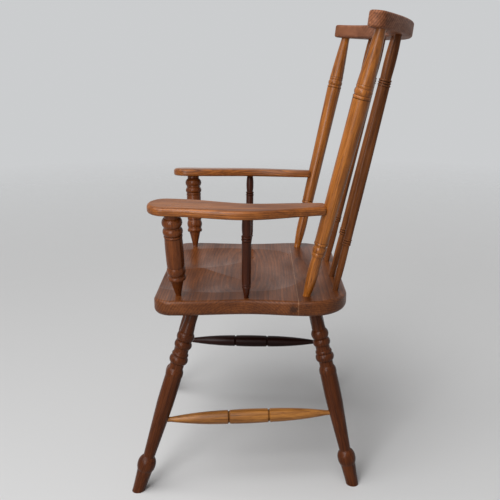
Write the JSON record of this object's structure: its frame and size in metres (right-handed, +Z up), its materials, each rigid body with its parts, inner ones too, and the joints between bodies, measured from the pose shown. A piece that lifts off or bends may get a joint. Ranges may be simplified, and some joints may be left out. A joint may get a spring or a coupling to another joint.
{
  "type": "captain's chair",
  "caption": "wooden armchair with a saddled plank seat on splayed turned legs, shaped arms on turned posts and a spindle back under a curved crest rail",
  "frame": {"origin": "on the floor, under the middle of the chair's overall box", "axes": "+Z up, +X to the sitter's left, -Y to the front"},
  "size_m": [0.5744, 0.6026, 1.0038],
  "materials": {
    "seat_wood": "satin",
    "turned_wood": "satin",
    "post_wood": "satin",
    "arm_wood": "satin",
    "spindle_wood": "satin",
    "crest_wood": "satin",
    "pale_wood": "satin",
    "dark_wood": "satin"
  },
  "bodies": {
    "root": {"seat_front_board": "seat_wood", "seat_rear_board": "seat_wood", "crest_rail": "crest_wood", "leg_front_left": "turned_wood", "leg_front_right": "turned_wood", "leg_rear_left": "turned_wood", "leg_rear_right": "turned_wood", "side_stretcher_left": "pale_wood", "side_stretcher_right": "dark_wood", "arm_post_left": "turned_wood", "arm_post_right": "turned_wood", "arm_spindle_left": "turned_wood", "arm_spindle_right": "turned_wood", "arm_left": "arm_wood", "arm_right": "arm_wood", "back_post_left": "post_wood", "back_post_right": "post_wood", "back_spindle_outer_left": "spindle_wood", "back_spindle_outer_right": "spindle_wood", "back_spindle_inner_left": "spindle_wood", "back_spindle_inner_right": "spindle_wood"}
  },
  "joints": []
}
